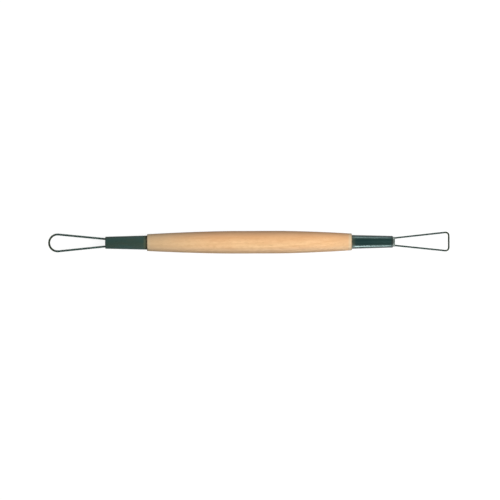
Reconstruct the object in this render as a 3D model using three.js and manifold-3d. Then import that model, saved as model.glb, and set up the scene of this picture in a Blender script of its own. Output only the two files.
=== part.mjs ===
import * as THREE from 'three';
import { mergeVertices } from 'three/addons/utils/BufferGeometryUtils.js';
import Module from 'manifold-3d';

// A double-ended modelling tool for clay: a turned wooden handle that carries a round wire loop
// on one end and a square one on the other, each loop bound with a fine wire for a coiled edge.
// Sizes are in millimetres. The tool lies along X, both loops lie flat in the XY plane, and the
// origin is on the handle's axis, midway between the tips of the loops.

// Handle, turned from one piece of hardwood
const handleLength = 101.8;
const bellyDiameter = 11.3;
const bellyLength = 22; // straight stretch at the full diameter
const bellyOffset = 2.7; // from the handle's middle to the belly's, towards the square end
const shoulderDiameter = 8.4;
const arrisRadius = 0.45;
const swellPower = 1.6; // how the handle falls away to a shoulder: 1 is a cone, 2 a parabola
const tenonLength = 11;
const tenonChamfer = 0.5;

// Ferrules, drawn from thin tube
const ferruleWall = 0.35;
const ferruleLipRadius = 0.2;

// Legs of the wire loops, where they are held
const legGapInside = 2.2; // between the centre lines of the legs, inside the ferrule
const legBendRadius = 8;
const legAnchorDepth = 5; // how far each leg goes into its hole in the tenon
const plugEdgeRadius = 0.25;

// Winding of the coiled edges
const windingPitch = 1.2;
const windingClearance = 0.03; // between the wound wire and the loop wire that it goes round

// Film of glue or solder between pieces that are fixed to one another
const glueFilm = 0.1;

// The two ends of the tool. A reach goes from the ferrule's mouth to the loop's tip, the leg gap
// is between the legs' centre lines at the mouth, and a bar is the straight edge of the head.
const roundEnd = {
  name: 'round',
  ferruleLength: 20.7,
  ferruleRootDiameter: 7.05,
  ferruleMouthDiameter: 6,
  plugStandsProud: -0.5,
  loopReach: 28.6,
  headRadius: 4.2,
  barLength: 0,
  legGapAtMouth: 3.72,
  coreDiameter: 0.54,
  bindingDiameter: 0.22,
};
const squareEnd = {
  name: 'square',
  ferruleLength: 20.3,
  ferruleRootDiameter: 6.9,
  ferruleMouthDiameter: 5.85,
  plugStandsProud: 1.1,
  loopReach: 28.4,
  headRadius: 1.5,
  barLength: 6.1,
  legGapAtMouth: 3.5,
  coreDiameter: 0.42,
  bindingDiameter: 0.19,
};

// Fineness of the round shapes
const turnedSides = 24;
const swellSteps = 9;
const edgeSteps = 3;
const wireSides = 8;
const holeSides = 12;
const bendStep = Math.PI / 12; // angle between the rings of a bent wire
const stepsPerCurl = 8;
const bindingSides = 5;
const drillOvershoot = 1;
const sameSpot = 0.001; // two points nearer than this are one

const wood = new THREE.MeshStandardMaterial({ color: 0xe9b988, roughness: 0.5, metalness: 0 });
const blackenedFerrule = new THREE.MeshStandardMaterial({ color: 0x3c4e4b, roughness: 0.35, metalness: 0.7 });
const solder = new THREE.MeshStandardMaterial({ color: 0x75807a, roughness: 0.6, metalness: 0.6 });
const loopSteel = new THREE.MeshStandardMaterial({ color: 0x8c908c, roughness: 0.35, metalness: 0.9 });
const bindingSteel = new THREE.MeshStandardMaterial({ color: 0x9a9d98, roughness: 0.3, metalness: 0.9 });

const manifold = await Module();
manifold.setup();

// Closed geometry to a solid that can be joined and cut, and back
function toSolid(geometry) {
  const bare = geometry.clone();
  bare.deleteAttribute('normal');
  bare.deleteAttribute('uv');
  const merged = mergeVertices(bare);
  const triangles = [];
  for (let i = 0; i < merged.index.count; i += 3) {
    const [a, b, c] = merged.index.array.slice(i, i + 3);
    if (a !== b && b !== c && c !== a) triangles.push(a, b, c);
  }
  return new manifold.Manifold(new manifold.Mesh({
    numProp: 3,
    vertProperties: new Float32Array(merged.attributes.position.array),
    triVerts: new Uint32Array(triangles),
  }));
}

function toGeometry(solid) {
  const mesh = solid.getMesh();
  const geometry = new THREE.BufferGeometry();
  geometry.setAttribute('position', new THREE.BufferAttribute(mesh.vertProperties, 3));
  geometry.setIndex(new THREE.BufferAttribute(mesh.triVerts, 1));
  geometry.computeVertexNormals();
  return geometry;
}

function cut(geometry, cutters) {
  let solid = toSolid(geometry);
  for (const cutter of cutters) {
    solid = solid.subtract(toSolid(cutter));
  }
  return toGeometry(solid);
}

// Piece turned about the X axis from a profile of radius and distance along the axis. It is
// turned so that flats of its round surface, and not corners, face straight up and down.
function turned(profile) {
  const geometry = new THREE.LatheGeometry(profile, turnedSides, Math.PI / turnedSides);
  return geometry.rotateZ(-Math.PI / 2);
}

// Quarter round from an outer side to an end face, as points of a profile
function roundedEdge(radius, along, edge) {
  const arc = new THREE.EllipseCurve(radius - edge, along - edge, edge, edge, 0, Math.PI / 2);
  return arc.getPoints(edgeSteps);
}

// Places on one end of the tool, measured outwards from the handle's shoulder
function mouthAt(end) {
  return glueFilm + end.ferruleLength;
}

function plugFaceAt(end) {
  return mouthAt(end) + end.plugStandsProud;
}

function tipAt(end) {
  return mouthAt(end) + end.loopReach;
}

function ferruleRadius(end, along) {
  const share = (along - glueFilm) / end.ferruleLength;
  return THREE.MathUtils.lerp(end.ferruleRootDiameter, end.ferruleMouthDiameter, share) / 2;
}

// Radius of what fits inside the tapered ferrule
function innerFit(end, along) {
  return ferruleRadius(end, along) - ferruleWall - glueFilm;
}

// Middle of the wound wire from the middle of the loop wire. A curl is made of straight chords,
// whose middles come nearer to the loop wire than their ends do.
function windingRadius(end) {
  const nearest = end.coreDiameter / 2 + windingClearance + end.bindingDiameter / 2;
  return nearest / Math.cos(Math.PI / stepsPerCurl);
}

// Half of the handle's outline on the side of one end, from the tip of its tenon to the belly
function handleSide(end, bellyEdge) {
  const shoulder = handleLength / 2;
  const tip = shoulder + tenonLength;
  const swellLength = shoulder - arrisRadius - bellyEdge;
  const fall = (bellyDiameter - shoulderDiameter) / 2;
  const points = [
    new THREE.Vector2(0, tip),
    new THREE.Vector2(innerFit(end, tenonLength) - tenonChamfer, tip),
    new THREE.Vector2(innerFit(end, tenonLength - tenonChamfer), tip - tenonChamfer),
    new THREE.Vector2(innerFit(end, 0), shoulder),
    ...roundedEdge(shoulderDiameter / 2, shoulder, arrisRadius).reverse(),
  ];
  for (let i = swellSteps - 1; i >= 0; i--) {
    const share = i / swellSteps;
    const radius = bellyDiameter / 2 - fall * share ** swellPower;
    points.push(new THREE.Vector2(radius, bellyEdge + share * swellLength));
  }
  return points;
}

// Drilled holes in a tenon for the two legs of its loop
function legHoles(end) {
  const depth = legAnchorDepth + glueFilm;
  const radius = end.coreDiameter / 2 + glueFilm;
  const length = depth + drillOvershoot;
  return [1, -1].map((side) => {
    const hole = new THREE.CylinderGeometry(radius, radius, length, holeSides);
    hole.rotateZ(-Math.PI / 2);
    return hole.translate(
      handleLength / 2 + tenonLength - depth + length / 2,
      (side * legGapInside) / 2,
      0,
    );
  });
}

function handle() {
  const towardsRound = handleSide(roundEnd, bellyLength / 2 - bellyOffset);
  const towardsSquare = handleSide(squareEnd, bellyLength / 2 + bellyOffset);
  const profile = [
    ...towardsRound.map((point) => new THREE.Vector2(point.x, -point.y)),
    ...towardsSquare.reverse(),
  ];
  const roundHoles = legHoles(roundEnd).map((hole) => hole.rotateZ(Math.PI));
  return cut(turned(profile), [...roundHoles, ...legHoles(squareEnd)]);
}

function ferrule(end) {
  const root = glueFilm;
  const mouth = mouthAt(end);
  const inner = (along) => ferruleRadius(end, along) - ferruleWall;
  return turned([
    new THREE.Vector2(inner(root), root),
    new THREE.Vector2(ferruleRadius(end, root), root),
    ...roundedEdge(ferruleRadius(end, mouth), mouth, ferruleLipRadius),
    new THREE.Vector2(inner(mouth), mouth),
    new THREE.Vector2(inner(root), root),
  ]);
}

// Angle between a leg of the loop and the tool's axis, from the gap at the ferrule's mouth and
// the round corner of the head that the leg runs into
function legLean(end, cornerAt) {
  const run = cornerAt - mouthAt(end);
  const rise = (end.barLength - end.legGapAtMouth) / 2;
  return Math.atan2(run, -rise) - Math.acos(end.headRadius / Math.hypot(run, rise));
}

// Places and angles that settle the course of a loop wire
function loopCourse(end) {
  const woundRadius = windingRadius(end) + end.bindingDiameter / 2;
  const cornerAt = tipAt(end) - woundRadius - end.headRadius;
  const lean = legLean(end, cornerAt);
  const narrowing = (end.legGapAtMouth - legGapInside) / 2;
  const bendAt = mouthAt(end) - narrowing / Math.tan(lean) - legBendRadius * Math.tan(lean / 2);
  return { anchor: tenonLength - legAnchorDepth, bendAt, lean, cornerAt };
}

// Centre line of the loop wire: out of the tenon, through a slight bend, along one leg, round the
// head and back along the other leg. Straight runs join its arcs.
function loopPath(end) {
  const { anchor, bendAt, lean, cornerAt } = loopCourse(end);
  const inside = legGapInside / 2;
  const barHalf = end.barLength / 2;
  const right = Math.PI / 2;
  const arcs = [
    [bendAt, inside + legBendRadius, legBendRadius, -right, lean - right],
    [cornerAt, barHalf, end.headRadius, right + lean, 0],
    [cornerAt, -barHalf, end.headRadius, 0, -right - lean],
    [bendAt, -inside - legBendRadius, legBendRadius, right - lean, right],
  ];
  const path = new THREE.CurvePath();
  let reached = new THREE.Vector2(anchor, inside);
  for (const [x, y, radius, from, to] of arcs) {
    const arc = new THREE.EllipseCurve(x, y, radius, radius, from, to, to < from);
    const start = arc.getPoint(0);
    if (reached.distanceTo(start) > sameSpot) path.add(new THREE.LineCurve(reached, start));
    path.add(arc);
    reached = arc.getPoint(1);
  }
  path.add(new THREE.LineCurve(reached, new THREE.Vector2(anchor, -inside)));
  return path;
}

// Flat path of lines and arcs as a centre line in space, with rings only where a bend needs them
class BentWire extends THREE.Curve {
  constructor(path) {
    super();
    this.path = path;
    this.ringShares = [0];
    const whole = path.getLength();
    let along = 0;
    for (const piece of path.curves) {
      const length = piece.getLength();
      const angle = piece.isEllipseCurve ? length / piece.xRadius : 0;
      const steps = Math.max(1, Math.ceil(angle / bendStep));
      for (let i = 1; i <= steps; i++) {
        this.ringShares.push((along + (length * i) / steps) / whole);
      }
      along += length;
    }
  }

  get steps() {
    return this.ringShares.length - 1;
  }

  shareAt(t) {
    const place = t * this.steps;
    const ring = Math.min(Math.floor(place), this.steps - 1);
    return THREE.MathUtils.lerp(this.ringShares[ring], this.ringShares[ring + 1], place - ring);
  }

  getPoint(t) {
    const { x, y } = this.path.getPoint(this.shareAt(t));
    return new THREE.Vector3(x, y, 0);
  }

  getTangent(t) {
    const { x, y } = this.path.getTangent(this.shareAt(t));
    return new THREE.Vector3(x, y, 0);
  }

  getUtoTmapping(u) {
    return u;
  }
}

function loopWire(end, diameter) {
  const section = new THREE.Shape();
  for (let i = 0; i < wireSides; i++) {
    const angle = ((i + 0.5) * 2 * Math.PI) / wireSides;
    const corner = [(diameter / 2) * Math.cos(angle), (diameter / 2) * Math.sin(angle)];
    if (i === 0) section.moveTo(...corner);
    else section.lineTo(...corner);
  }
  const wire = new BentWire(loopPath(end));
  return new THREE.ExtrudeGeometry(section, { steps: wire.steps, extrudePath: wire });
}

// Filling in front of the tenon, with a passage for each leg
function plug(end) {
  const back = tenonLength + glueFilm;
  const face = plugFaceAt(end);
  const widestAt = Math.min(mouthAt(end), face - plugEdgeRadius);
  const radius = innerFit(end, widestAt);
  const body = turned([
    new THREE.Vector2(0, back),
    new THREE.Vector2(innerFit(end, back), back),
    new THREE.Vector2(radius, widestAt),
    ...roundedEdge(radius, face, plugEdgeRadius),
    new THREE.Vector2(0, face),
  ]);
  return cut(body, [loopWire(end, end.coreDiameter + 2 * glueFilm)]);
}

// Centre line of the wound wire, as points with their directions away from the loop wire. It goes
// round the loop wire at a steady pitch from leg to leg, and each of its ends runs straight to
// the face of the plug.
function windingLine(end) {
  const path = loopPath(end);
  const whole = path.getLength();
  const { anchor, bendAt, lean } = loopCourse(end);
  const straightEnd = 2 * end.bindingDiameter;
  const firstAt = plugFaceAt(end) + glueFilm + straightEnd;
  const legFrom = bendAt + legBendRadius * Math.sin(lean);
  const skipped = bendAt - anchor + legBendRadius * lean + (firstAt - legFrom) / Math.cos(lean);
  const wound = whole - 2 * skipped;
  const curls = Math.floor(wound / windingPitch);
  const steps = curls * stepsPerCurl;
  const radius = windingRadius(end);

  const line = [];
  for (let i = 0; i <= steps; i++) {
    const share = (skipped + (wound * i) / steps) / whole;
    const centre = path.getPoint(share);
    const along = path.getTangent(share);
    const angle = (2 * Math.PI * i) / stepsPerCurl;
    const outwards = new THREE.Vector3(-along.y, along.x, 0)
      .multiplyScalar(Math.cos(angle))
      .add(new THREE.Vector3(0, 0, Math.sin(angle)));
    const point = new THREE.Vector3(centre.x, centre.y, 0).addScaledVector(outwards, radius);
    line.push({ point, outwards });
  }
  const beyond = ({ point, outwards }, distance) => ({
    point: point.clone().add(new THREE.Vector3(-distance, 0, 0)),
    outwards,
  });
  const first = line[0];
  const last = line[steps];
  return {
    curls,
    line: [
      beyond(first, straightEnd),
      beyond(first, straightEnd / 2),
      ...line,
      beyond(last, straightEnd / 2),
      beyond(last, straightEnd),
    ],
  };
}

// Least distance between two stretches of the wound wire that lie half a curl or more apart
function leastGap(line, diameter) {
  const samplesPerStep = 4;
  const samples = [];
  for (let i = 0; i + 1 < line.length; i++) {
    for (let k = 0; k < samplesPerStep; k++) {
      samples.push(line[i].point.clone().lerp(line[i + 1].point, k / samplesPerStep));
    }
  }
  const apart = (stepsPerCurl / 2) * samplesPerStep;
  let least = Infinity;
  for (let i = 0; i < samples.length; i++) {
    for (let j = i + apart; j < samples.length; j++) {
      least = Math.min(least, samples[i].distanceTo(samples[j]));
    }
  }
  return least - diameter;
}

// Fine wire wound round the loop, as one closed tube with a ring of corners at each point
function winding(end) {
  const { curls, line } = windingLine(end);
  const positions = [];
  const triangles = [];
  const lastRing = line.length - 1;
  line.forEach(({ point, outwards }, i) => {
    const before = line[Math.max(i - 1, 0)].point;
    const after = line[Math.min(i + 1, lastRing)].point;
    const along = after.clone().sub(before).normalize();
    const sideways = along.clone().cross(outwards).normalize();
    const up = sideways.clone().cross(along);
    for (let k = 0; k < bindingSides; k++) {
      const angle = (2 * Math.PI * k) / bindingSides;
      const corner = point.clone()
        .addScaledVector(up, (end.bindingDiameter / 2) * Math.cos(angle))
        .addScaledVector(sideways, (end.bindingDiameter / 2) * Math.sin(angle));
      positions.push(...corner.toArray());
    }
  });
  for (let i = 0; i < lastRing; i++) {
    for (let k = 0; k < bindingSides; k++) {
      const next = (k + 1) % bindingSides;
      const here = i * bindingSides;
      const there = here + bindingSides;
      triangles.push(here + k, here + next, there + k);
      triangles.push(here + next, there + next, there + k);
    }
  }
  for (let k = 1; k + 1 < bindingSides; k++) {
    const end0 = lastRing * bindingSides;
    triangles.push(0, k + 1, k);
    triangles.push(end0, end0 + k, end0 + k + 1);
  }
  const gap = leastGap(line, end.bindingDiameter).toFixed(2);
  console.log(`${end.name}_edge_coil: ${curls} curls, least gap to itself ${gap} mm`);

  const geometry = new THREE.BufferGeometry();
  geometry.setAttribute('position', new THREE.Float32BufferAttribute(positions, 3));
  geometry.setIndex(triangles);
  geometry.computeVertexNormals();
  return geometry;
}

function named(name, geometry, material) {
  const mesh = new THREE.Mesh(geometry, material);
  mesh.name = name;
  return mesh;
}

// Everything that one end of the tool carries, with X running outwards from the shoulder
function endPieces(end) {
  const group = new THREE.Group();
  group.add(
    named(`${end.name}_end_ferrule`, ferrule(end), blackenedFerrule),
    named(`${end.name}_end_plug`, plug(end), solder),
    named(`${end.name}_loop_wire`, loopWire(end, end.coreDiameter), loopSteel),
    named(`${end.name}_edge_coil`, winding(end), bindingSteel),
  );
  group.position.x = handleLength / 2;
  return group;
}

const roundPieces = endPieces(roundEnd);
roundPieces.position.x *= -1;
roundPieces.rotation.z = Math.PI;

const tool = new THREE.Group();
tool.add(named('handle', handle(), wood), roundPieces, endPieces(squareEnd));
tool.position.x = (tipAt(roundEnd) - tipAt(squareEnd)) / 2;

export default tool;
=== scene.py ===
# %% [markdown]
# # A double-ended modelling tool for clay
# The real tool is a turned wooden handle with a blackened ferrule on each end. A round wire loop
# is soldered into one ferrule and a square one into the other, and both loops are bound with a
# fine wire, which makes the coiled edge that shaves clay.
#
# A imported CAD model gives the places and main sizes. This lesson makes a finer piece with its
# own finish for each node of it, and sets up the picture. It starts by loading the frame.

# %% Load the frame
import math
from dataclasses import dataclass

import bmesh
import bpy
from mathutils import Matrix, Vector, noise


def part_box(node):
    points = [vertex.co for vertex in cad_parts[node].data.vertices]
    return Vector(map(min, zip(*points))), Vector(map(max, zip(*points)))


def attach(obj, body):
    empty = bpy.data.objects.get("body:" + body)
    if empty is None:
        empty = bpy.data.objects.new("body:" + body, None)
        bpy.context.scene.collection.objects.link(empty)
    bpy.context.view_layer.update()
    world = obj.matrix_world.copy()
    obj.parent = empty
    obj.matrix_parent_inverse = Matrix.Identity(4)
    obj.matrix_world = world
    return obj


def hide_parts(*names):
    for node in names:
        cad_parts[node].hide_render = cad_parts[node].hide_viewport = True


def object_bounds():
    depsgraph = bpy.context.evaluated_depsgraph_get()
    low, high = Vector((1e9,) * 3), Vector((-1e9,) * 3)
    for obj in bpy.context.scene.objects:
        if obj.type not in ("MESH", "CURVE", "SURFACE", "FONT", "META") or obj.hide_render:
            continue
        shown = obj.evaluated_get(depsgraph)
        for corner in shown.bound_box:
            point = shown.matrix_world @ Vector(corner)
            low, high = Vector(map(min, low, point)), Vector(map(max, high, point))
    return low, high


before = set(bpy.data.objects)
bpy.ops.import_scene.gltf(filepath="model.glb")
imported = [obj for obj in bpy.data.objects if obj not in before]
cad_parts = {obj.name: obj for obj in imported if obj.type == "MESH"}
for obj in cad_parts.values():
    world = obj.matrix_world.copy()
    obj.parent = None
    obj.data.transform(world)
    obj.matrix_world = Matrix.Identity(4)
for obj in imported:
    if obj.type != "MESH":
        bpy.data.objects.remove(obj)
scene = bpy.context.scene
cad_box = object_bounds()
print("nodes:", ", ".join(sorted(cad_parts)))
print("CAD box in mm:", [[round(1000 * v, 2) for v in corner] for corner in cad_box])

# %% [markdown]
# ## Sizes of the two ends
# Each end is the same set of pieces in other sizes: ferrule, plug, loop wire and winding. One
# small class holds the sizes of an end and knows where things lie on it. Lengths are in
# millimetres, measured outwards from the handle's shoulder, and MM makes them metres where
# Blender gets them. The handle's place comes from the frame.

# %% Sizes in millimetres
MM = 0.001
HANDLE_LENGTH = 101.8
TENON_LENGTH = 11.0
TENON_SINK = 0.5
FERRULE_WALL = 0.35
FILM = 0.1  # glue or solder between two pieces
LEG_GAP_INSIDE = 2.2
LEG_BEND_RADIUS = 8.0
LEG_ANCHOR_DEPTH = 5.0
WINDING_CLEARANCE = 0.03
CAD_STEPS_PER_CURL = 8

handle_low, handle_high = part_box("handle")
MIDDLE = (handle_low.x + handle_high.x) / 2 / MM
BELLY_RADIUS = handle_high.z / MM


@dataclass
class ToolEnd:
    """One end of the tool, in millimetres."""

    name: str
    side: int  # -1 or 1, for the way that it points along X
    ferrule_length: float
    root_radius: float  # outside the ferrule, at the shoulder
    mouth_radius: float  # outside the ferrule, at its mouth
    plug_proud: float  # how far the plug's face stands out of the mouth
    reach: float  # from the mouth to the outside of the loop's head
    head_radius: float  # of a bend in the head, at the middle of the wire
    bar: float  # the straight working edge between two corners
    leg_gap: float  # between the legs at the mouth
    core: float  # thickness of the loop wire
    binding: float  # thickness of the wire wound round it
    pitch: float  # from one curl to the next

    @property
    def title(self):
        """The name of this end in the handle's inputs."""
        return f"{self.name.capitalize()} End"

    @property
    def mouth(self):
        return FILM + self.ferrule_length

    @property
    def plug_face(self):
        return self.mouth + self.plug_proud

    @property
    def winding_radius(self):
        nearest = self.core / 2 + WINDING_CLEARANCE + self.binding / 2
        return nearest / math.cos(math.pi / CAD_STEPS_PER_CURL)

    def ferrule_radius(self, along):
        share = (along - FILM) / self.ferrule_length
        return self.root_radius + share * (self.mouth_radius - self.root_radius)

    def inner_fit(self, along):
        return self.ferrule_radius(along) - FERRULE_WALL - FILM

    def place(self, along, across=0.0, up=0.0):
        """A point on the tool, in metres."""
        x = MIDDLE + self.side * (HANDLE_LENGTH / 2 + along)
        return Vector((x, self.side * across, up)) * MM


# %% The two ends
ROUND_END = ToolEnd(
    name="round", side=-1,
    ferrule_length=20.7, root_radius=3.525, mouth_radius=3.0, plug_proud=-0.5,
    reach=28.6, head_radius=4.2, bar=0.0, leg_gap=3.72,
    core=0.54, binding=0.22, pitch=0.232,
)
SQUARE_END = ToolEnd(
    name="square", side=1,
    ferrule_length=20.3, root_radius=3.45, mouth_radius=2.925, plug_proud=1.1,
    reach=28.4, head_radius=1.5, bar=6.1, leg_gap=3.5,
    core=0.42, binding=0.19, pitch=0.202,
)
ENDS = (ROUND_END, SQUARE_END)
for end in ENDS:
    tip = end.mouth + end.reach
    places = [round(end.place(along).x / MM, 2) for along in (end.mouth, tip)]
    print(end.name, "end: mouth and tip at x =", places)

# %% [markdown]
# ## Helpers for node trees
# The handle, the loops and the finishes are all made with nodes, so adding and joining nodes
# should read as easily as a list of what goes in. `add` makes a node and fills its inputs. A
# `Number` stands for a value that nodes work out, and Python's own operators on it add Math
# nodes, so that a formula in a tree looks like a formula.

# %% Nodes from plain words
def socket_of(sockets, key):
    """A socket by its identifier, or else by its name or place."""
    for socket in sockets:
        if socket.identifier == key:
            return socket
    return sockets[key]


def put(tree, socket, value):
    """Link a socket to another one or to a Number, or set it to a plain value."""
    if isinstance(value, Number):
        value = value.socket
    if isinstance(value, bpy.types.NodeSocket):
        tree.links.new(value, socket)
    else:
        socket.default_value = value


def add(tree, kind, inputs=None, **settings):
    node = tree.nodes.new(kind)
    for name, value in settings.items():
        setattr(node, name, value)
    for key, value in (inputs or {}).items():
        put(tree, socket_of(node.inputs, key), value)
    return node


def maths(tree, operation, *values):
    inputs = dict(enumerate(values))
    return Number(tree, add(tree, "ShaderNodeMath", inputs, operation=operation).outputs[0])


class Number:
    """A value worked out by nodes."""

    def __init__(self, tree, socket):
        self.tree = tree
        self.socket = socket

    def __add__(self, other):
        return maths(self.tree, "ADD", self, other)

    def __sub__(self, other):
        return maths(self.tree, "SUBTRACT", self, other)

    def __rsub__(self, other):
        return maths(self.tree, "SUBTRACT", other, self)

    def __mul__(self, other):
        return maths(self.tree, "MULTIPLY", self, other)

    def __truediv__(self, other):
        return maths(self.tree, "DIVIDE", self, other)

    def __pow__(self, other):
        return maths(self.tree, "POWER", self, other)

    def __abs__(self):
        return maths(self.tree, "ABSOLUTE", self)

    def within(self):
        """The value, held between 0 and 1."""
        held = add(self.tree, "ShaderNodeClamp", {"Value": self})
        return Number(self.tree, held.outputs[0])


def new_group(name, kind, inputs, outputs):
    """A node group with named sockets: its tree, and what is given and due inside it."""
    tree = bpy.data.node_groups.new(name, kind)
    for in_out, sockets in (("INPUT", inputs), ("OUTPUT", outputs)):
        for socket, value_type in sockets.items():
            socket_type = "NodeSocket" + value_type
            tree.interface.new_socket(socket, in_out=in_out, socket_type=socket_type)
    given = tree.nodes.new("NodeGroupInput").outputs
    due = tree.nodes.new("NodeGroupOutput").inputs
    return tree, given, due


def hand_over(tree, mesh, material, due):
    """End a Geometry Nodes tree: real geometry, with its material."""
    real = add(tree, "GeometryNodeRealizeInstances", {"Geometry": mesh})
    finished = add(tree, "GeometryNodeSetMaterial", {
        "Geometry": real.outputs[0], "Material": material,
    })
    put(tree, due, finished.outputs[0])


print("Python's signs that now add Math nodes: + - * / ** and abs")

# %% [markdown]
# ## From a tree or a profile to a finished piece
# A Geometry Nodes tree is run by a modifier. The modifier's inputs are set by their identifiers
# before Blender first evaluates the object, the result is taken as a plain mesh, and the object
# that carried the modifier goes. What is turned on a lathe but follows no rule, such as a tube
# with a lip, is simpler as a list of profile points that is swept round the X axis.
#
# Each piece then takes the place of its CAD node, and is measured: its open edges are counted,
# and its volume is printed, which is positive when its faces point outwards.

# %% Grow, turn and fit a piece
TURNED_SIDES = 96
SHARP_ANGLE = math.radians(35)
WIRE_SHARP_ANGLE = math.radians(75)  # only the cut ends of a wire are sharp


def new_piece(name, mesh):
    piece = bpy.data.objects.new(name, mesh)
    scene.collection.objects.link(piece)
    return piece


def grow(name, tree, sizes, base=None):
    """Run a Geometry Nodes tree on a base mesh, and keep the result as a piece."""
    carrier = new_piece(name + "_base", base or bpy.data.meshes.new(name + "_base"))
    modifier = carrier.modifiers.new("Shape", "NODES")
    modifier.node_group = tree
    for item in tree.interface.items_tree:
        if item.in_out == "INPUT" and item.name in sizes:
            modifier[item.identifier] = sizes[item.name]
    graph = bpy.context.evaluated_depsgraph_get()
    mesh = bpy.data.meshes.new_from_object(carrier.evaluated_get(graph), depsgraph=graph)
    carrier.modifiers.remove(modifier)
    bpy.data.objects.remove(carrier)
    mesh.name = name
    return new_piece(name, mesh)


def turn(name, end, profile, material, closed=False):
    """Sweep profile points, each a place along an end and a radius, round the tool's axis."""
    points, faces, rings = [], [], []
    for along, radius in profile:
        sides = TURNED_SIDES if radius > 0 else 1
        rings.append([len(points) + k % sides for k in range(TURNED_SIDES)])
        for k in range(sides):
            angle = 2 * math.pi * k / TURNED_SIDES
            points.append(end.place(along, radius * math.cos(angle), radius * math.sin(angle)))
    after = rings[1:] + rings[:1] if closed else rings[1:]
    for ring, following in zip(rings, after):
        for k in range(TURNED_SIDES):
            m = (k + 1) % TURNED_SIDES
            corners = dict.fromkeys((ring[k], ring[m], following[m], following[k]))
            faces.append(list(corners))
    mesh = bpy.data.meshes.new(name)
    mesh.from_pydata(points, [], faces)
    shape = bmesh.new()
    shape.from_mesh(mesh)
    bmesh.ops.recalc_face_normals(shape, faces=shape.faces)
    shape.to_mesh(mesh)
    shape.free()
    mesh.materials.append(material)
    return new_piece(name, mesh)


def fit(piece, node, sharp=SHARP_ANGLE):
    """Let a piece stand for its CAD node, and print what it measures."""
    piece.data.shade_smooth()
    piece.data.set_sharp_from_angle(angle=sharp)
    shape = bmesh.new()
    shape.from_mesh(piece.data)
    open_edges = sum(not edge.is_manifold for edge in shape.edges)
    volume = shape.calc_volume(signed=True) / MM**3
    triangles = sum(len(face.verts) - 2 for face in shape.faces)
    shape.free()
    print(f"{piece.name}: {triangles} triangles, {open_edges} open edges, {volume:.1f} mm3")
    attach(piece, "root")
    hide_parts(node)


print(f"turned pieces: {TURNED_SIDES} sides, sharp from {math.degrees(SHARP_ANGLE):.0f} degrees")

# %% [markdown]
# ## Effects that several finishes share
# Wood, drawn tube and solder look different, but they are marked in the same three ways: by
# streaks that run along or round the tool, by soft spots, and by how far along the tool a point
# lies, because wear and stains gather at edges. Each effect is one shader node group. The groups
# read Object coordinates, which here are the tool's own, so a pattern stays where it is from
# every side.

# %% Shared shader groups
SPOT_SOFTNESS = 0.08


def object_place(tree):
    return add(tree, "ShaderNodeTexCoord").outputs["Object"]


def rising_mask(tree, value, start, full):
    """A mask that rises smoothly from 0 where the value is start to 1 where it is full."""
    mask = add(tree, "ShaderNodeMapRange", {
        "Value": value, "From Min": start, "From Max": full,
    }, interpolation_type="SMOOTHSTEP")
    return Number(tree, mask.outputs[0])


def streaks_group():
    """Noise drawn out along X: Length along the tool, Width across it."""
    tree, given, due = new_group(
        "Streaks", "ShaderNodeTree",
        {"Length": "Float", "Width": "Float", "Shift": "Float"}, {"Value": "Float"},
    )
    size = add(tree, "ShaderNodeCombineXYZ", {
        "X": given["Length"], "Y": given["Width"], "Z": given["Width"],
    })
    stretched = add(tree, "ShaderNodeVectorMath", {
        0: object_place(tree), 1: size.outputs[0],
    }, operation="DIVIDE")
    moved = add(tree, "ShaderNodeVectorMath", {
        0: stretched.outputs[0], 1: given["Shift"],
    }, operation="ADD")
    marks = add(tree, "ShaderNodeTexNoise", {
        "Vector": moved.outputs[0], "Scale": 1.0, "Detail": 3.0, "Roughness": 0.55,
    })
    put(tree, due["Value"], marks.outputs[0])
    return tree


def spots_group():
    """Soft spots: Size of a spot, and Amount, the share of the surface that they cover."""
    tree, given, due = new_group(
        "Spots", "ShaderNodeTree",
        {"Size": "Float", "Amount": "Float", "Shift": "Float"}, {"Mask": "Float"},
    )
    size = Number(tree, given["Size"])
    moved = add(tree, "ShaderNodeVectorMath", {
        0: object_place(tree), 1: size * Number(tree, given["Shift"]),
    }, operation="ADD")
    cloud = add(tree, "ShaderNodeTexNoise", {
        "Vector": moved.outputs[0], "Scale": maths(tree, "DIVIDE", 1.0, size),
        "Detail": 4.0, "Roughness": 0.6,
    })
    # Noise seldom leaves the range from 0.25 to 0.75, so the threshold moves within it.
    threshold = 0.75 - Number(tree, given["Amount"]) * 0.5
    low, high = threshold - SPOT_SOFTNESS, threshold + SPOT_SOFTNESS
    put(tree, due["Mask"], rising_mask(tree, cloud.outputs[0], low, high))
    return tree


def reach_group():
    """A mask that rises from Start to Full, as distances along X from the handle's middle."""
    tree, given, due = new_group(
        "Reach along the tool", "ShaderNodeTree",
        {"Start": "Float", "Full": "Float"}, {"Mask": "Float"},
    )
    x = Number(tree, add(tree, "ShaderNodeSeparateXYZ", {0: object_place(tree)}).outputs["X"])
    mask = rising_mask(tree, abs(x - MIDDLE * MM), given["Start"], given["Full"])
    put(tree, due["Mask"], mask)
    return tree


STREAKS, SPOTS, REACH = streaks_group(), spots_group(), reach_group()
print("shader groups:", ", ".join(group.name for group in (STREAKS, SPOTS, REACH)))

# %% [markdown]
# ## Colours and finishes
# Every finish on the tool is one Principled shader whose colour, roughness and bumps come from a
# tree. A small class keeps the three together, so that the finish of each piece reads as a list
# of layers: what lies under, what is mixed over it, and how much of it shows. A value that is the
# same all over, such as how metallic a steel is, is set on the shader itself.

# %% Helpers for finishes
def srgb(red, green, blue):
    """A colour as a paint chart gives it, from 0 to 255, made linear for Blender."""
    def linear(value):
        share = value / 255
        return share / 12.92 if share <= 0.04045 else ((share + 0.055) / 1.055) ** 2.4

    return (linear(red), linear(green), linear(blue), 1.0)


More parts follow.
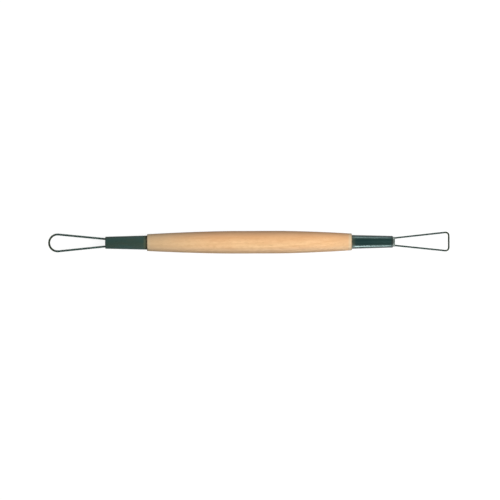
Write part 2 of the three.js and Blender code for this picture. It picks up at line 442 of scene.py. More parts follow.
class Finish:
    """A material with its tree and its Principled shader."""

    def __init__(self, name, **constants):
        self.material = bpy.data.materials.new(name)
        self.material.use_nodes = True
        self.tree = self.material.node_tree
        self.shader = self.tree.nodes["Principled BSDF"]
        for socket, value in constants.items():
            self.shader.inputs[socket.replace("_", " ")].default_value = value

    def effect(self, group, **sizes):
        """One of the shared groups, with its own values for this finish."""
        node = self.tree.nodes.new("ShaderNodeGroup")
        node.node_tree = group
        for socket, value in sizes.items():
            node.inputs[socket].default_value = value
        return Number(self.tree, node.outputs[0])

    def mix(self, share, under, over):
        """Two colours mixed, with share of the one that lies over."""
        mixed = add(self.tree, "ShaderNodeMix", {
            "Factor_Float": share, "A_Color": under, "B_Color": over,
        }, data_type="RGBA")
        return socket_of(mixed.outputs, "Result_Color")

    def apply(self, colour, roughness, height, depth, strength=0.5):
        """Wire up colour and roughness, and a height whose bumps are depth metres high."""
        bump = add(self.tree, "ShaderNodeBump", {
            "Height": height, "Distance": depth, "Strength": strength,
        })
        put(self.tree, self.shader.inputs["Base Color"], colour)
        put(self.tree, self.shader.inputs["Roughness"], roughness)
        put(self.tree, self.shader.inputs["Normal"], bump.outputs[0])


print("a paint chart's middle grey, 128, in linear light:", round(srgb(128, 128, 128)[0], 3))

# %% [markdown]
# ## The grain of the wood
# The handle is a pale, close-grained hardwood. Its grain is quiet: long fibres, growth rings that
# run out of the turned surface in long ovals, short flecks, a faint figure of patches some 3 mm
# long, and slow changes of tone. An image would need mapping and would stop at the edges. Growth
# rings are a solid pattern, so they are worked out as one: the distance of a point from the
# tree's pith, which lies outside the handle and slightly askew to it, divided into years.

# %% The growth rings
PITH = Vector((0.0, -21.0, -30.0)) * MM
PITH_TURN = (0.0, math.radians(1.4), math.radians(-1.1))
RING_WIDTH = 1.7 * MM
RING_WANDER = 1.6
LATE_WOOD_SHARPNESS = 2.5


def growth_rings(finish):
    """A mask that is 1 in the dense late wood of each year's ring."""
    tree = finish.tree
    askew = add(tree, "ShaderNodeMapping", {
        "Vector": object_place(tree), "Location": -PITH, "Rotation": PITH_TURN,
    })
    across = add(tree, "ShaderNodeVectorMath", {
        0: askew.outputs[0], 1: (0.0, 1.0, 1.0),
    }, operation="MULTIPLY")
    distance = add(tree, "ShaderNodeVectorMath", {0: across.outputs[0]}, operation="LENGTH")
    wander = finish.effect(STREAKS, Length=45.0 * MM, Width=6.0 * MM, Shift=3.0)
    years = Number(tree, distance.outputs["Value"]) / RING_WIDTH + wander * RING_WANDER
    return maths(tree, "FRACT", years) ** LATE_WOOD_SHARPNESS


print(f"rings {RING_WIDTH / MM:.1f} mm wide, pith {PITH.length / MM:.0f} mm from the axis")

# %% The grain
EARLY_WOOD = srgb(253, 214, 164)
LATE_WOOD = srgb(213, 161, 107)
WARM_WOOD = srgb(224, 165, 118)
FIGURED_WOOD = srgb(216, 166, 116)
FLECK = srgb(166, 116, 74)


def grained_wood(wood, grain):
    """The colour of clean wood, from its fibres and rings to its flecks."""
    tone = wood.effect(STREAKS, Length=13.0 * MM, Width=3.5 * MM, Shift=11.0)
    figure = wood.effect(STREAKS, Length=2.6 * MM, Width=1.2 * MM, Shift=29.0)
    flecks = wood.effect(STREAKS, Length=2.2 * MM, Width=0.22 * MM, Shift=19.0)
    colour = wood.mix(grain, EARLY_WOOD, LATE_WOOD)
    colour = wood.mix((tone * 2.2 - 0.75).within() * 0.35, colour, WARM_WOOD)
    colour = wood.mix((figure * 4.0 - 1.8).within() * 0.36, colour, FIGURED_WOOD)
    dark_fleck = ((flecks - 0.62) * 9.0).within()
    return wood.mix(dark_fleck * 0.5, colour, FLECK)


contrast = sum(EARLY_WOOD[:3]) / sum(LATE_WOOD[:3])
print(f"early wood is {contrast:.1f} times as bright as late wood")

# %% [markdown]
# ## Wear and painted shade on the wood
# The lacquer is thin and has gone nearly matte. Towards the round end the wood is greyer, partly
# from hands and partly as painted shade where the light falls off. Both flanks are painted greyer
# and darker, and the far side darker and more amber, as painted shade of a round handle that the
# lamps light from the near side. At each shoulder the lacquer is worn off, so bare wood shows
# paler, and the last half millimetre is painted dark as the shade where the wood meets the
# ferrule. All this could be painted by hand, but it follows from where a point lies on the handle.
# So each kind of wear or shade is a mix with its own mask, laid over the grain in the order in
# which it came.

# %% What hands, use and painted shade have done
SHOULDER = HANDLE_LENGTH / 2
FAR_SIDE_AMBER_SHADE = srgb(222, 158, 104)
FLANK_SHADE_GREY = srgb(174, 150, 124)
DULLED = srgb(204, 172, 132)
BARE_WOOD = srgb(216, 198, 164)
HANDLED_AND_SHADED = srgb(196, 170, 134)
SHOULDER_SHADE = srgb(134, 116, 90)
END_GRAIN = srgb(140, 106, 72)


def used_and_shaded_wood(wood, colour, worn):
    """The same wood after years of use, with painted shade laid over it. worn is a mask of the
    bare wood at each shoulder.
    """
    place = add(wood.tree, "ShaderNodeSeparateXYZ", {0: object_place(wood.tree)}).outputs
    across = Number(wood.tree, place["Y"])
    # Greyer towards the round end: partly wear from hands, partly painted shade where the light
    # falls off along the handle.
    handled_and_shaded = rising_mask(wood.tree, place["X"], -14.0 * MM, -53.0 * MM)  # to the round end
    # Painted shade on the far side, away from the lamps, in a darker amber tone.
    far_side_shade = rising_mask(wood.tree, across, -1.4 * MM, 3.6 * MM)  # on the far side
    # Painted shade on both flanks, greyer and darker where the round handle turns away from the
    # light.
    flank_shade = rising_mask(wood.tree, abs(across), 1.8 * MM, 5.4 * MM)  # along both sides
    dulled = wood.effect(REACH, Start=(SHOULDER - 12.0) * MM, Full=SHOULDER * MM)
    # Painted shade in the last half millimetre before each shoulder, where the wood meets the
    # ferrule.
    shoulder_shade = wood.effect(REACH, Start=(SHOULDER - 0.7) * MM, Full=(SHOULDER - 0.1) * MM)
    end_grain = wood.effect(REACH, Start=(SHOULDER - 0.1) * MM, Full=SHOULDER * MM)

    colour = wood.mix((1.0 - handled_and_shaded) * far_side_shade * 0.55, colour, FAR_SIDE_AMBER_SHADE)
    colour = wood.mix(flank_shade * 0.32, colour, FLANK_SHADE_GREY)
    colour = wood.mix(dulled * 0.3, colour, DULLED)
    colour = wood.mix(worn * 0.7, colour, BARE_WOOD)
    colour = wood.mix(handled_and_shaded * 0.55, colour, HANDLED_AND_SHADED)
    colour = wood.mix(shoulder_shade * 0.7, colour, SHOULDER_SHADE)
    return wood.mix(end_grain * 0.7, colour, END_GRAIN)


print("shoulders", SHOULDER, "mm from the handle's middle")

# %% The wood finish
def wood_finish():
    wood = Finish("satin_wood", Specular_IOR_Level=0.1)
    fibres = wood.effect(STREAKS, Length=16.0 * MM, Width=0.55 * MM, Shift=0.0)
    fine_fibres = wood.effect(STREAKS, Length=5.0 * MM, Width=0.16 * MM, Shift=7.0)
    turning_marks = wood.effect(STREAKS, Length=0.3 * MM, Width=50.0 * MM, Shift=5.0)
    grain = (fibres * 0.55 + fine_fibres * 0.3 + growth_rings(wood) * 0.2 - 0.1).within()
    worn = wood.effect(REACH, Start=(SHOULDER - 2.2) * MM, Full=(SHOULDER - 0.6) * MM)

    colour = used_and_shaded_wood(wood, grained_wood(wood, grain), worn)
    roughness = grain * 0.1 + worn * 0.1 + 0.56
    height = fine_fibres * 0.5 + turning_marks * 0.15 + fibres * 0.3
    wood.apply(colour, roughness, height, depth=0.06 * MM, strength=0.4)
    return wood.material


WOOD = wood_finish()
print("finish:", WOOD.name, "with", len(WOOD.node_tree.nodes), "nodes")

# %% [markdown]
# ## Blackened tube
# The ferrules are thin steel tube, blackened to a green-grey. Blackening is an oxide and not
# paint, so the surface is dark but keeps a low sheen, which is tinted green as well. Drawing the
# tube has left fine streaks, and the oxide is more olive in some long patches than in others.
# Glue has left a dull brown-olive stain near the wood. On the duller ferrule a little steel
# shows through at the lip, and the brighter one turns nearly black and rougher over the last
# millimetre before its mouth. The two differ only in tone, sheen and wear, so one function makes
# both finishes from those values.

# %% The ferrule finishes
GREEN_SHEEN = (0.68, 1.0, 0.97, 1.0)
DARK_SPECK = srgb(30, 32, 28)
GLUE_STAIN = srgb(110, 110, 80)
BARE_STEEL = srgb(96, 106, 100)
DARK_MOUTH = srgb(12, 16, 12)


def ferrule_finish(name, end, tone, sheen, roughness, stained, worn, mouth_darkening):
    tube = Finish(name, Specular_IOR_Level=sheen, Specular_Tint=GREEN_SHEEN)
    drawn = tube.effect(STREAKS, Length=12.0 * MM, Width=0.3 * MM, Shift=2.0)
    cloud = tube.effect(STREAKS, Length=14.0 * MM, Width=2.2 * MM, Shift=4.0)
    cloud = (cloud * 6.0 - 2.5).within()
    specks = tube.effect(SPOTS, Size=0.4 * MM, Amount=0.28, Shift=9.0)

    red, green, blue = tone
    lighter = srgb(red * 1.25, green * 1.25, blue * 1.25)
    olive = srgb(red * 1.4, green * 1.1, blue)
    colour = tube.mix(drawn, srgb(*tone), lighter)
    colour = tube.mix(cloud * 0.6, colour, olive)
    colour = tube.mix(specks * 0.3, colour, DARK_SPECK)

    root = SHOULDER + FILM
    away = tube.effect(REACH, Start=(root + 0.2) * MM, Full=(root + 2.2) * MM)
    stain = tube.effect(SPOTS, Size=1.6 * MM, Amount=0.75, Shift=1.0)
    colour = tube.mix((1.0 - away) * stain * stained, colour, GLUE_STAIN)

    mouth = SHOULDER + end.mouth
    lip = tube.effect(REACH, Start=(mouth - 0.35) * MM, Full=(mouth - 0.05) * MM)
    colour = tube.mix(lip * worn, colour, BARE_STEEL)
    # The last millimetre before the mouth is darkened nearly black and made rougher.
    dark_mouth = tube.effect(REACH, Start=(mouth - 1.4) * MM, Full=(mouth - 0.3) * MM) * mouth_darkening
    colour = tube.mix(dark_mouth, colour, DARK_MOUTH)

    height = drawn * 0.6 + cloud * 0.3 + specks * 0.15
    dulled = (1.0 - away) * 0.25 + drawn * 0.14 + cloud * 0.06 + dark_mouth * 0.3
    tube.apply(colour, dulled + roughness, height, depth=0.02 * MM)
    return tube.material


DULL_TUBE = ferrule_finish(
    "dull_blackened_tube", ROUND_END, tone=(42, 64, 59),
    sheen=0.11, roughness=0.55, stained=0.5, worn=0.2, mouth_darkening=0.0,
)
BRIGHT_TUBE = ferrule_finish(
    "bright_blackened_tube", SQUARE_END, tone=(10, 34, 33),
    sheen=0.24, roughness=0.22, stained=0.2, worn=0.0, mouth_darkening=1.0,
)
print("finishes:", DULL_TUBE.name, "and", BRIGHT_TUBE.name)

# %% [markdown]
# ## Solder and steel
# The plug is soft solder that has gone dull: a rough grey metal with cloudy dark flux stains.
# The loop wire is drawn spring steel. The winding is a finer steel wire with the same dark
# green-grey oxide as the ferrules. It is darker towards the head of a loop, the part that cuts
# the clay, and a little olive along the working edge itself.
#
# What tells the eye that it is wound is the dark line between two curls, where dirt and shadow
# collect. The tree that winds it stores how far each point stands outwards, from 0 on the loop
# wire to 1 on the outside, and the finish reads that attribute to darken the grooves. A pattern
# of stripes would have to be lined up with the curls, and this one is lined up by its making.

# %% The solder and the loop steel
CLEAN_SOLDER = srgb(94, 104, 98)
FLUX_STAIN = srgb(66, 73, 68)
PIT = srgb(50, 56, 52)
DARK_STEEL = srgb(58, 62, 60)
RUBBED_STEEL = srgb(82, 86, 83)


def solder_finish():
    solder = Finish("dull_solder", Metallic=0.5)
    flux = solder.effect(SPOTS, Size=1.1 * MM, Amount=0.5, Shift=6.0)
    pits = solder.effect(SPOTS, Size=0.25 * MM, Amount=0.35, Shift=8.0)
    colour = solder.mix(flux * 0.6, CLEAN_SOLDER, FLUX_STAIN)
    colour = solder.mix(pits * 0.4, colour, PIT)
    solder.apply(colour, flux * 0.15 + 0.5, flux * 0.6 + pits * 0.4, depth=0.06 * MM)
    return solder.material


def loop_steel_finish():
    steel = Finish("drawn_spring_steel", Metallic=1.0)
    drawn = steel.effect(STREAKS, Length=4.0 * MM, Width=0.08 * MM, Shift=13.0)
    colour = steel.mix(drawn, DARK_STEEL, RUBBED_STEEL)
    steel.apply(colour, drawn * 0.15 + 0.35, drawn, depth=0.01 * MM)
    return steel.material


SOLDER, LOOP_STEEL = solder_finish(), loop_steel_finish()
print("finishes:", SOLDER.name, "and", LOOP_STEEL.name)

# %% The winding steel
OXIDE = srgb(53, 73, 67)
CLOUDED_OXIDE = srgb(43, 60, 55)
HEAD_OXIDE = srgb(32, 50, 45)
EDGE_OXIDE = srgb(49, 56, 37)
GROOVE = srgb(25, 34, 31)


def winding_steel_finish():
    steel = Finish("wound_steel", Metallic=0.8, Specular_IOR_Level=0.3)
    outwards = add(steel.tree, "ShaderNodeAttribute", attribute_name="outwards").outputs["Fac"]
    open_face = (Number(steel.tree, outwards) * 1.5 - 0.35).within()
    cloud = steel.effect(SPOTS, Size=2.0 * MM, Amount=0.45, Shift=15.0)
    towards_head = steel.effect(REACH, Start=74.0 * MM, Full=96.0 * MM)
    working_edge = steel.effect(REACH, Start=95.5 * MM, Full=98.5 * MM)
    fine_pits = steel.effect(SPOTS, Size=0.1 * MM, Amount=0.5, Shift=17.0)

    face = steel.mix(cloud * 0.5, OXIDE, CLOUDED_OXIDE)
    face = steel.mix(towards_head * 0.5, face, HEAD_OXIDE)
    face = steel.mix(working_edge * 0.75, face, EDGE_OXIDE)
    colour = steel.mix(open_face, GROOVE, face)
    roughness = (1.0 - open_face) * 0.2 + 0.42
    steel.apply(colour, roughness, fine_pits, depth=0.004 * MM)
    return steel.material


WINDING_STEEL = winding_steel_finish()
print("finish:", WINDING_STEEL.name, "with", len(WINDING_STEEL.node_tree.nodes), "nodes")

# %% [markdown]
# ## The handle
# The handle is one turned piece: a short straight belly a little past the middle, a swell that
# falls away to each shoulder, a small round arris, and a tenon that goes into each ferrule.
# Its outline follows a rule, so it is a Geometry Nodes tree whose inputs are the sizes that a
# turner would set. A line is cut into rings that crowd towards the ends, where the arris needs
# them, and Curve to Mesh gives each ring the radius that the rule works out from its place. The
# tenons are cones, and a Boolean joins the three into one skin.

# %% The rule for the handle's outline
def handle_radius(tree, size, half, x):
    """The radius at x: a straight belly, a swell on each side, an arris at each shoulder."""
    from_belly = x - size["Belly Offset"]
    side = maths(tree, "SIGN", from_belly)
    straight = size["Belly Length"] / 2.0
    swell_length = half - size["Arris Radius"] - straight - side * size["Belly Offset"]
    share = ((abs(from_belly) - straight) / swell_length).within()
    fall = (size["Belly Diameter"] - size["Shoulder Diameter"]) / 2.0
    swell = size["Belly Diameter"] / 2.0 - fall * share ** size["Swell Power"]
    past = ((abs(x) - half + size["Arris Radius"]) / size["Arris Radius"]).within()
    kept = maths(tree, "SQRT", maths(tree, "MAXIMUM", 1.0 - past * past, 0.0))
    return swell - size["Arris Radius"] * (1.0 - kept)


def tenon(tree, size, half, sides, end):
    """A cone that points along an end, its root sunk a little into the shoulder."""
    cone = add(tree, "GeometryNodeMeshCone", {
        "Vertices": sides, "Radius Bottom": size[end.title + " Root"],
        "Radius Top": size[end.title + " Tip"], "Depth": size["Tenon Length"] + TENON_SINK * MM,
    })
    root = (half - TENON_SINK * MM) * float(end.side) + size["Middle"]
    return add(tree, "GeometryNodeTransform", {
        "Geometry": cone.outputs["Mesh"],
        "Translation": add(tree, "ShaderNodeCombineXYZ", {"X": root}).outputs[0],
        "Rotation": (0.0, end.side * math.pi / 2, 0.0),
    }).outputs[0]


# %% The tree that turns the handle
def handle_tree():
    floats = (
        "Length", "Middle", "Belly Diameter", "Belly Length", "Belly Offset",
        "Shoulder Diameter", "Swell Power", "Arris Radius", "Tenon Length",
        "Round End Root", "Round End Tip", "Square End Root", "Square End Tip",
    )
    sockets = {name: "Float" for name in floats}
    sockets |= {"Rings": "Int", "Sides": "Int", "Material": "Material"}
    tree, given, due = new_group(
        "Turned handle", "GeometryNodeTree", sockets, {"Handle": "Geometry"},
    )
    size = {name: Number(tree, given[name]) for name in floats}
    half = size["Length"] / 2.0

    line = add(tree, "GeometryNodeCurvePrimitiveLine", {"Start": (-1, 0, 0), "End": (1, 0, 0)})
    rings = add(tree, "GeometryNodeResampleCurve", {
        "Curve": line.outputs[0], "Count": given["Rings"],
    })
    # Position is read again by each node that uses it. On the plain line its X runs from -1 to
    # 1, and the sine crowds the rings at the ends. On the spread line it is a place on the tool.
    where = add(tree, "GeometryNodeInputPosition").outputs[0]
    here = Number(tree, add(tree, "ShaderNodeSeparateXYZ", {0: where}).outputs["X"])
    spread = add(tree, "ShaderNodeCombineXYZ", {
        "X": maths(tree, "SINE", here * (math.pi / 2)) * half + size["Middle"],
    })
    axis = add(tree, "GeometryNodeSetPosition", {
        "Geometry": rings.outputs[0], "Position": spread.outputs[0],
    })
    circle = add(tree, "GeometryNodeCurvePrimitiveCircle", {
        "Resolution": given["Sides"], "Radius": 1.0,
    })
    body = add(tree, "GeometryNodeCurveToMesh", {
        "Curve": axis.outputs[0], "Profile Curve": circle.outputs[0],
        "Scale": handle_radius(tree, size, half, here - size["Middle"]), "Fill Caps": True,
    })
    union = add(tree, "GeometryNodeMeshBoolean", operation="UNION", solver="EXACT")
    tree.links.new(body.outputs[0], union.inputs["Mesh 2"])
    for end in ENDS:
        cone = tenon(tree, size, half, given["Sides"], end)
        tree.links.new(cone, union.inputs["Mesh 2"])
    hand_over(tree, union.outputs["Mesh"], given["Material"], due["Handle"])
    return tree


HANDLE_TREE = handle_tree()
print("tree:", HANDLE_TREE.name, "with", len(HANDLE_TREE.nodes), "nodes")

# %% Turn the handle
handle_sizes = {
    "Length": HANDLE_LENGTH * MM,
    "Middle": MIDDLE * MM,
    "Belly Diameter": 2 * BELLY_RADIUS * MM,
    "Belly Length": 22.0 * MM,
    "Belly Offset": 2.7 * MM,
    "Shoulder Diameter": 8.4 * MM,
    "Swell Power": 1.6,
    "Arris Radius": 0.18 * MM,
    "Tenon Length": TENON_LENGTH * MM,
    "Rings": 161,
    "Sides": TURNED_SIDES,
    "Material": WOOD,
}
for end in ENDS:
    handle_sizes[end.title + " Root"] = end.inner_fit(0.0) * MM
    handle_sizes[end.title + " Tip"] = end.inner_fit(TENON_LENGTH) * MM
turned_handle = grow("turned_handle", HANDLE_TREE, handle_sizes)
fit(turned_handle, "handle")

# %% [markdown]
# ## The ferrules
# A ferrule is a thin tube that tapers towards its mouth, with a softly rounded lip. A cylinder
# with Solidify and Bevel would come near it, but a profile of a few points says just where the
# wall, the lip and the small chamfer at the root lie. The profile has an inside as well as an
# outside and closes on itself, so the piece that is swept from it is closed too.

# %% Turn the ferrules
LIP_RADIUS = 0.1
ROUNDING_STEPS = 6
ROOT_CHAMFER = 0.06


def ferrule_profile(end):
    outside = end.ferrule_radius
    mouth = end.mouth
    lip = []
    for k in range(ROUNDING_STEPS + 1):
        angle = math.pi * k / ROUNDING_STEPS
        lip.append((
            mouth - LIP_RADIUS + LIP_RADIUS * math.sin(angle),
            outside(mouth) - LIP_RADIUS + LIP_RADIUS * math.cos(angle),
        ))
    return [
        (FILM, outside(FILM) - FERRULE_WALL),
        (FILM, outside(FILM) - ROOT_CHAMFER),
        (FILM + ROOT_CHAMFER, outside(FILM + ROOT_CHAMFER)),
        *lip,
        (mouth - LIP_RADIUS, outside(mouth) - FERRULE_WALL),
    ]


for end, finish in ((ROUND_END, DULL_TUBE), (SQUARE_END, BRIGHT_TUBE)):
    ferrule = turn(f"{end.name}_ferrule_tube", end, ferrule_profile(end), finish, closed=True)
    fit(ferrule, f"{end.name}_end_ferrule")

# %% [markdown]
# ## The plugs
# A plug is solder that was poured round the two legs and holds them in the ferrule. Its face is
# slightly domed and uneven, and it creeps up each leg in a small fillet, as solder does where it
# wets steel. It is turned from a profile as the ferrule is, and then the points of its face are
# moved: up and down by a slow noise, and up near each leg. A bump in the finish would be less
# work, but it would vanish where the face is seen from the side, and these show there as well.

# %% Turn the plugs
PLUG_EDGE = 0.1
PLUG_FACE_RINGS = 18
FACE_DOME = 0.04
FACE_LUMPS = 0.05
LUMP_SIZE = 0.9
FILLET_HEIGHT = 0.22
FILLET_SPREAD = 0.28


def plug_profile(end):
    back = TENON_LENGTH + FILM
    widest_at = min(end.mouth, end.plug_face - PLUG_EDGE)
    widest = end.inner_fit(widest_at)
    edge_centre = end.plug_face - FACE_DOME - PLUG_EDGE
    profile = [(back, 0.0), (back, end.inner_fit(back)), (min(widest_at, edge_centre), widest)]
    for k in range(1, ROUNDING_STEPS + 1):
        angle = math.pi / 2 * k / ROUNDING_STEPS
        profile.append((
            edge_centre + PLUG_EDGE * math.sin(angle),
            widest - PLUG_EDGE * (1 - math.cos(angle)),
        ))
    face = widest - PLUG_EDGE
    for k in range(PLUG_FACE_RINGS - 1, -1, -1):
        share = k / PLUG_FACE_RINGS
        profile.append((end.plug_face - FACE_DOME * share**2, face * share))
    return profile


def lump(piece, end):
    """Raise the plug's face in lumps, and in a fillet round each leg."""
    face = end.place(end.plug_face - FACE_DOME - PLUG_EDGE / 2).x
    for vertex in piece.data.vertices:
        if end.side * (vertex.co.x - face) < 0:
            continue
        spot = Vector((vertex.co.y, vertex.co.z, 0)) / MM
        rise = FACE_LUMPS * noise.noise(spot / LUMP_SIZE)
        for leg in (-1, 1):
            distance = (spot - Vector((leg * end.leg_gap / 2, 0, 0))).length
            rise += FILLET_HEIGHT * math.exp(-((distance / FILLET_SPREAD) ** 2) / 2)
        vertex.co.x += end.side * rise * MM


for end in ENDS:
    plug = turn(f"{end.name}_solder_plug", end, plug_profile(end), SOLDER)
    lump(plug, end)
    fit(plug, f"{end.name}_end_plug")

# %% [markdown]
# ## The loops
# Each loop is one steel wire: two legs that come out of the plug, lean apart, and run into a
# round head or into two tight corners with a straight bar between them. Straight runs and arcs
# are all that its centre line needs, so the path is worked out from the sizes that a maker would
# bend to. A first tree gives the path its thickness.

# %% The path of a loop
ARC_STEP = math.radians(3)
SAME_POINT = 0.001 * MM


def loop_course(end):
    """Where a loop's bends are, how far its legs lean, and how much of each stays unwound."""
    wound_radius = end.winding_radius + end.binding / 2
    corner = end.mouth + end.reach - wound_radius - end.head_radius
    run, rise = corner - end.mouth, (end.bar - end.leg_gap) / 2
    lean = math.atan2(run, -rise) - math.acos(end.head_radius / math.hypot(run, rise))
    narrowing = (end.leg_gap - LEG_GAP_INSIDE) / 2
    bend = end.mouth - narrowing / math.tan(lean) - LEG_BEND_RADIUS * math.tan(lean / 2)
    leg_from = bend + LEG_BEND_RADIUS * math.sin(lean)
    anchor = TENON_LENGTH - LEG_ANCHOR_DEPTH
    unwound = bend - anchor + LEG_BEND_RADIUS * lean
    unwound += (end.plug_face + FILM - leg_from) / math.cos(lean)
    return anchor, bend, lean, corner, unwound


def loop_path(end):
    """A mesh of edges only, along the loop's centre line."""
    anchor, bend, lean, corner, _ = loop_course(end)
    inside, bar = LEG_GAP_INSIDE / 2, end.bar / 2
    right = math.pi / 2
    arcs = (
        (bend, inside + LEG_BEND_RADIUS, LEG_BEND_RADIUS, -right, lean - right),
        (corner, bar, end.head_radius, right + lean, 0.0),
        (corner, -bar, end.head_radius, 0.0, -right - lean),
        (bend, -inside - LEG_BEND_RADIUS, LEG_BEND_RADIUS, right - lean, right),
    )
    points = [end.place(anchor, inside)]
    for along, across, radius, start, stop in arcs:
        steps = max(2, round(abs(stop - start) / ARC_STEP))
        for k in range(steps + 1):
            angle = start + (stop - start) * k / steps
            point = end.place(along + radius * math.cos(angle), across + radius * math.sin(angle))
            if (point - points[-1]).length > SAME_POINT:
                points.append(point)
    points.append(end.place(anchor, -inside))
    mesh = bpy.data.meshes.new(f"{end.name}_loop_path")
    mesh.from_pydata(points, [(k, k + 1) for k in range(len(points) - 1)], [])
    return mesh


for end in ENDS:
    _, _, lean, _, unwound = loop_course(end)
    print(f"{end.name} loop: legs lean {math.degrees(lean):.1f} degrees, {unwound:.1f} mm unwound")

# %% The tree that gives a wire its thickness
def tube(tree, curve, diameter, sides):
    """A curve swept with a circle, and closed at both ends."""
    circle = add(tree, "GeometryNodeCurvePrimitiveCircle", {
        "Resolution": sides, "Radius": diameter / 2.0,
    })
    return add(tree, "GeometryNodeCurveToMesh", {
        "Curve": curve, "Profile Curve": circle.outputs[0], "Fill Caps": True,
    }).outputs[0]


def bent_wire_tree():
    tree, given, due = new_group(
        "Bent wire", "GeometryNodeTree",
        {"Path": "Geometry", "Diameter": "Float", "Sides": "Int", "Material": "Material"},
        {"Wire": "Geometry"},
    )
    curve = add(tree, "GeometryNodeMeshToCurve", {"Mesh": given["Path"]}).outputs[0]
    mesh = tube(tree, curve, Number(tree, given["Diameter"]), given["Sides"])
    hand_over(tree, mesh, given["Material"], due["Wire"])
    return tree


WIRE_TREE = bent_wire_tree()
print("tree:", WIRE_TREE.name, "with", len(WIRE_TREE.nodes), "nodes")

# %% Bend the loop wires
CORE_SIDES = 20
for end in ENDS:
    core = grow(f"{end.name}_loop_core", WIRE_TREE, {
        "Diameter": end.core * MM, "Sides": CORE_SIDES, "Material": LOOP_STEEL,
    }, loop_path(end))
    fit(core, f"{end.name}_loop_wire", WIRE_SHARP_ANGLE)

# %% [markdown]
# ## The coiled edge
# A fine wire goes round each loop some hundreds of times, from leg to leg, with its curls nearly
# touching. By hand this takes the most care, because the pitch has to stay even round the
# corners. A curl that is copied along the path would leave gaps there. A second tree winds by
# rule: it trims the path to the part that is wound, cuts it into equal steps, and moves each
# step out from the path by the winding's radius, at an angle that grows by the same amount each
# time. The curve through those points is the fine wire.

# %% The tree that winds a wire round a path
def winding_tree():
    sockets = {"Path": "Geometry"}
    sockets |= {name: "Float" for name in ("Pitch", "Winding Radius", "Wire Diameter", "Unwound")}
    sockets |= {"Steps": "Int", "Sides": "Int", "Material": "Material"}
    tree, given, due = new_group(
        "Wound wire", "GeometryNodeTree", sockets, {"Winding": "Geometry"},
    )
    unwound, steps = Number(tree, given["Unwound"]), Number(tree, given["Steps"])
    winding_radius = Number(tree, given["Winding Radius"])
    diameter = Number(tree, given["Wire Diameter"])

    curve = add(tree, "GeometryNodeMeshToCurve", {"Mesh": given["Path"]}).outputs[0]
    whole = Number(tree, add(tree, "GeometryNodeCurveLength", {"Curve": curve}).outputs[0])
    wound = add(tree, "GeometryNodeTrimCurve", {
        "Curve": curve, "Start_001": unwound, "End_001": whole - unwound,
    }, mode="LENGTH").outputs[0]
    curls = maths(tree, "FLOOR", (whole - unwound * 2.0) / Number(tree, given["Pitch"]))
    even = add(tree, "GeometryNodeResampleCurve", {
        "Curve": wound, "Count": curls * steps + 1.0,
    }).outputs[0]

    index = Number(tree, add(tree, "GeometryNodeInputIndex").outputs[0])
    turned = index * (2 * math.pi) / steps
    along = add(tree, "GeometryNodeInputTangent").outputs[0]
    sideways = add(tree, "ShaderNodeVectorMath", {
        0: (0.0, 0.0, 1.0), 1: along,
    }, operation="CROSS_PRODUCT").outputs[0]
    level = add(tree, "ShaderNodeVectorMath", {
        0: sideways, "Scale": maths(tree, "COSINE", turned) * winding_radius,
    }, operation="SCALE").outputs[0]
    upright = add(tree, "ShaderNodeCombineXYZ", {
        "Z": maths(tree, "SINE", turned) * winding_radius,
    }).outputs[0]
    outwards = add(tree, "ShaderNodeVectorMath", {0: level, 1: upright}, operation="ADD")
    coil = add(tree, "GeometryNodeSetPosition", {
        "Geometry": even, "Offset": outwards.outputs[0],
    }).outputs[0]
    mesh = tube(tree, coil, diameter, given["Sides"])

    distance = add(tree, "GeometryNodeProximity", {
        "Geometry": given["Path"],
    }, target_element="EDGES").outputs["Distance"]
    share = (Number(tree, distance) - winding_radius) / diameter + 0.5
    marked = add(tree, "GeometryNodeStoreNamedAttribute", {
        "Geometry": mesh, "Name": "outwards", "Value": share.within(),
    }, data_type="FLOAT", domain="POINT").outputs[0]
    hand_over(tree, marked, given["Material"], due["Winding"])
    return tree


WINDING_TREE = winding_tree()
print("tree:", WINDING_TREE.name, "with", len(WINDING_TREE.nodes), "nodes")

# %% Wind the coiled edges
CURL_STEPS = 12
BINDING_SIDES = 6
for end in ENDS:
    *_, unwound = loop_course(end)
    coil = grow(f"{end.name}_coil_winding", WINDING_TREE, {
        "Pitch": end.pitch * MM,
        "Winding Radius": end.winding_radius * MM,
        "Wire Diameter": end.binding * MM,
        "Unwound": unwound * MM,
        "Steps": CURL_STEPS,
        "Sides": BINDING_SIDES,
        "Material": WINDING_STEEL,
    }, loop_path(end))
    curls = (len(coil.data.vertices) / BINDING_SIDES - 1) / CURL_STEPS
    print(f"{coil.name}: {curls:.0f} curls")
    fit(coil, f"{end.name}_edge_coil", WIRE_SHARP_ANGLE)

# %% [markdown]
# ## The floor and the world
# The tool lies on a plain white floor that shows almost no shadow. A floor that is only painted
# white would throw as much light back up as it gets, and would flatten the dark ferrules. So it
# is a grey floor that the camera, and whatever mirrors it, sees lifted to white, and it still
# darkens under the tool. All else gets a small part of that lift, as bounce light for the
# underside. The world is white in the same way. From below the floor lets light through, so
# that the underside can be looked at.

# %% The floor's finish
FLOOR_GREY = (0.14, 0.14, 0.14, 1.0)
FLOOR_LIFT = 0.92
FLOOR_BOUNCE = 0.12


def seen_directly(tree):
    """1 for what the camera sees, straight or in a mirror or through glass."""
    path = add(tree, "ShaderNodeLightPath").outputs
    mirrored = maths(tree, "MAXIMUM", path["Is Glossy Ray"], path["Is Transmission Ray"])
    return maths(tree, "MAXIMUM", path["Is Camera Ray"], mirrored)


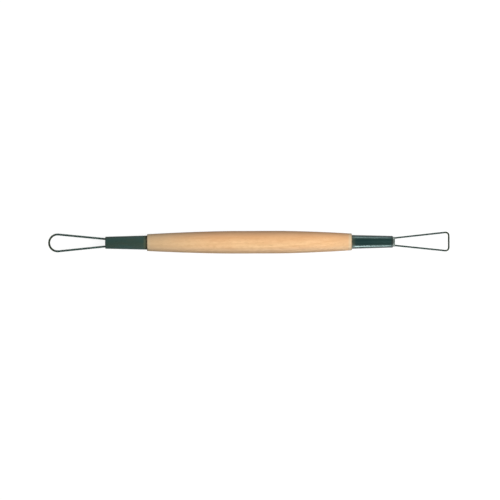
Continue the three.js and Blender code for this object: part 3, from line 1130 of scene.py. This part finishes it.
def floor_finish():
    material = bpy.data.materials.new("pale_floor")
    material.use_nodes = True
    tree = material.node_tree
    tree.nodes.remove(tree.nodes["Principled BSDF"])
    paint = add(tree, "ShaderNodeBsdfDiffuse", {"Color": FLOOR_GREY})
    lift = add(tree, "ShaderNodeEmission", {
        "Strength": seen_directly(tree) * (FLOOR_LIFT - FLOOR_BOUNCE) + FLOOR_BOUNCE,
    })
    lit = add(tree, "ShaderNodeAddShader", {0: paint.outputs[0], 1: lift.outputs[0]})
    below = add(tree, "ShaderNodeNewGeometry").outputs["Backfacing"]
    shown = add(tree, "ShaderNodeMixShader", {
        0: below, 1: lit.outputs[0], 2: add(tree, "ShaderNodeBsdfTransparent").outputs[0],
    })
    tree.links.new(shown.outputs[0], tree.nodes["Material Output"].inputs["Surface"])
    return material


PALE_FLOOR = floor_finish()
print("finish:", PALE_FLOOR.name, "lifted to", FLOOR_LIFT, "for the camera")

# %% Lay the floor and light the world
FLOOR_SIZE = 6.0
WORLD_FILL = 0.015
WHITE = (1.0, 1.0, 1.0, 1.0)

bpy.ops.mesh.primitive_plane_add(size=FLOOR_SIZE, location=(0, 0, cad_box[0].z))
floor = bpy.context.object
floor.name = "floor"
floor.data.materials.append(PALE_FLOOR)

world = bpy.data.worlds.new("white_room")
scene.world = world
world.use_nodes = True
background = world.node_tree.nodes["Background"]
background.inputs["Color"].default_value = WHITE
seen = seen_directly(world.node_tree)
put(world.node_tree, background.inputs["Strength"], seen * (1 - WORLD_FILL) + WORLD_FILL)
print("floor at z =", round(cad_box[0].z / MM, 3), "mm")

# %% [markdown]
# ## The lamps
# Two broad lamps, one overhead and one off the square end, shade the handle from its crown to
# its edges. The one overhead would be mirrored in the ferrules as a bright stripe, so it is left
# out of reflections, and the other stands too far along the tool's axis to be mirrored. Two low
# lamps do the opposite and show in reflections only: the one in front draws the bright line
# along the square end's ferrule, and the one behind draws the softer line on its far side. Area
# lamps were chosen over spots, because their size is what makes light and reflections soft.

# %% The lamps
def soft_lamp(name, place, width, height, power, aim=(0.0, 0.0, 0.0), diffuse=True, gloss=True):
    """A lamp at a place in metres, seen by diffuse surfaces, by glossy ones, or by both."""
    lamp = bpy.data.lights.new(name, "AREA")
    lamp.shape = "RECTANGLE"
    lamp.size, lamp.size_y = width, height
    lamp.energy = power
    holder = bpy.data.objects.new(name, lamp)
    holder.location = place
    direction = Vector(aim) - Vector(place)
    holder.rotation_mode = "QUATERNION"
    holder.rotation_quaternion = direction.to_track_quat("-Z", "Y")
    holder.visible_camera = False
    holder.visible_diffuse = diffuse
    holder.visible_glossy = gloss
    scene.collection.objects.link(holder)
    print(f"{name}: {power} W, {direction.length:.2f} m away")


soft_lamp("overhead_lamp", (0.45, -0.06, 0.9), width=0.5, height=0.5, power=7.5, gloss=False)
soft_lamp("end_lamp", (0.95, -0.06, 0.85), width=0.4, height=0.5, power=10.8)
soft_lamp(
    "low_front_lamp", (0.1, -0.45, 0.03), width=0.2, height=0.06, power=4.0,
    aim=(0.06, 0.0, 0.0), diffuse=False,
)
soft_lamp("low_back_lamp", (0.0, 0.45, 0.07), width=0.4, height=0.14, power=2.8, diffuse=False)

# %% [markdown]
# ## The camera
# The picture is taken from straight above, with the tool a little above its middle and turned a
# touch. A close camera would make the belly look thicker against the ends. A high one with a
# long lens keeps sizes true, so the height is set first, and the lens follows from the width of
# the picture.

# %% The camera
PIXEL = 0.498 * MM
PICTURE_WIDTH = 500 * PIXEL
CAMERA_HEIGHT = 1.0
CAMERA_OFFSET = (0.57 * MM, -3.87 * MM)
CAMERA_ROLL = math.radians(-0.2)
SENSOR_WIDTH = 36.0
camera = bpy.data.cameras.new("camera")
camera.sensor_width = SENSOR_WIDTH
camera.lens = SENSOR_WIDTH * CAMERA_HEIGHT / PICTURE_WIDTH
holder = bpy.data.objects.new("camera", camera)
holder.location = (*CAMERA_OFFSET, CAMERA_HEIGHT)
holder.rotation_euler = (0.0, 0.0, CAMERA_ROLL)
scene.collection.objects.link(holder)
scene.camera = holder
scene.view_settings.view_transform = "Standard"
print(f"camera: {camera.lens:.1f} mm lens, {PICTURE_WIDTH / MM:.1f} mm wide picture")
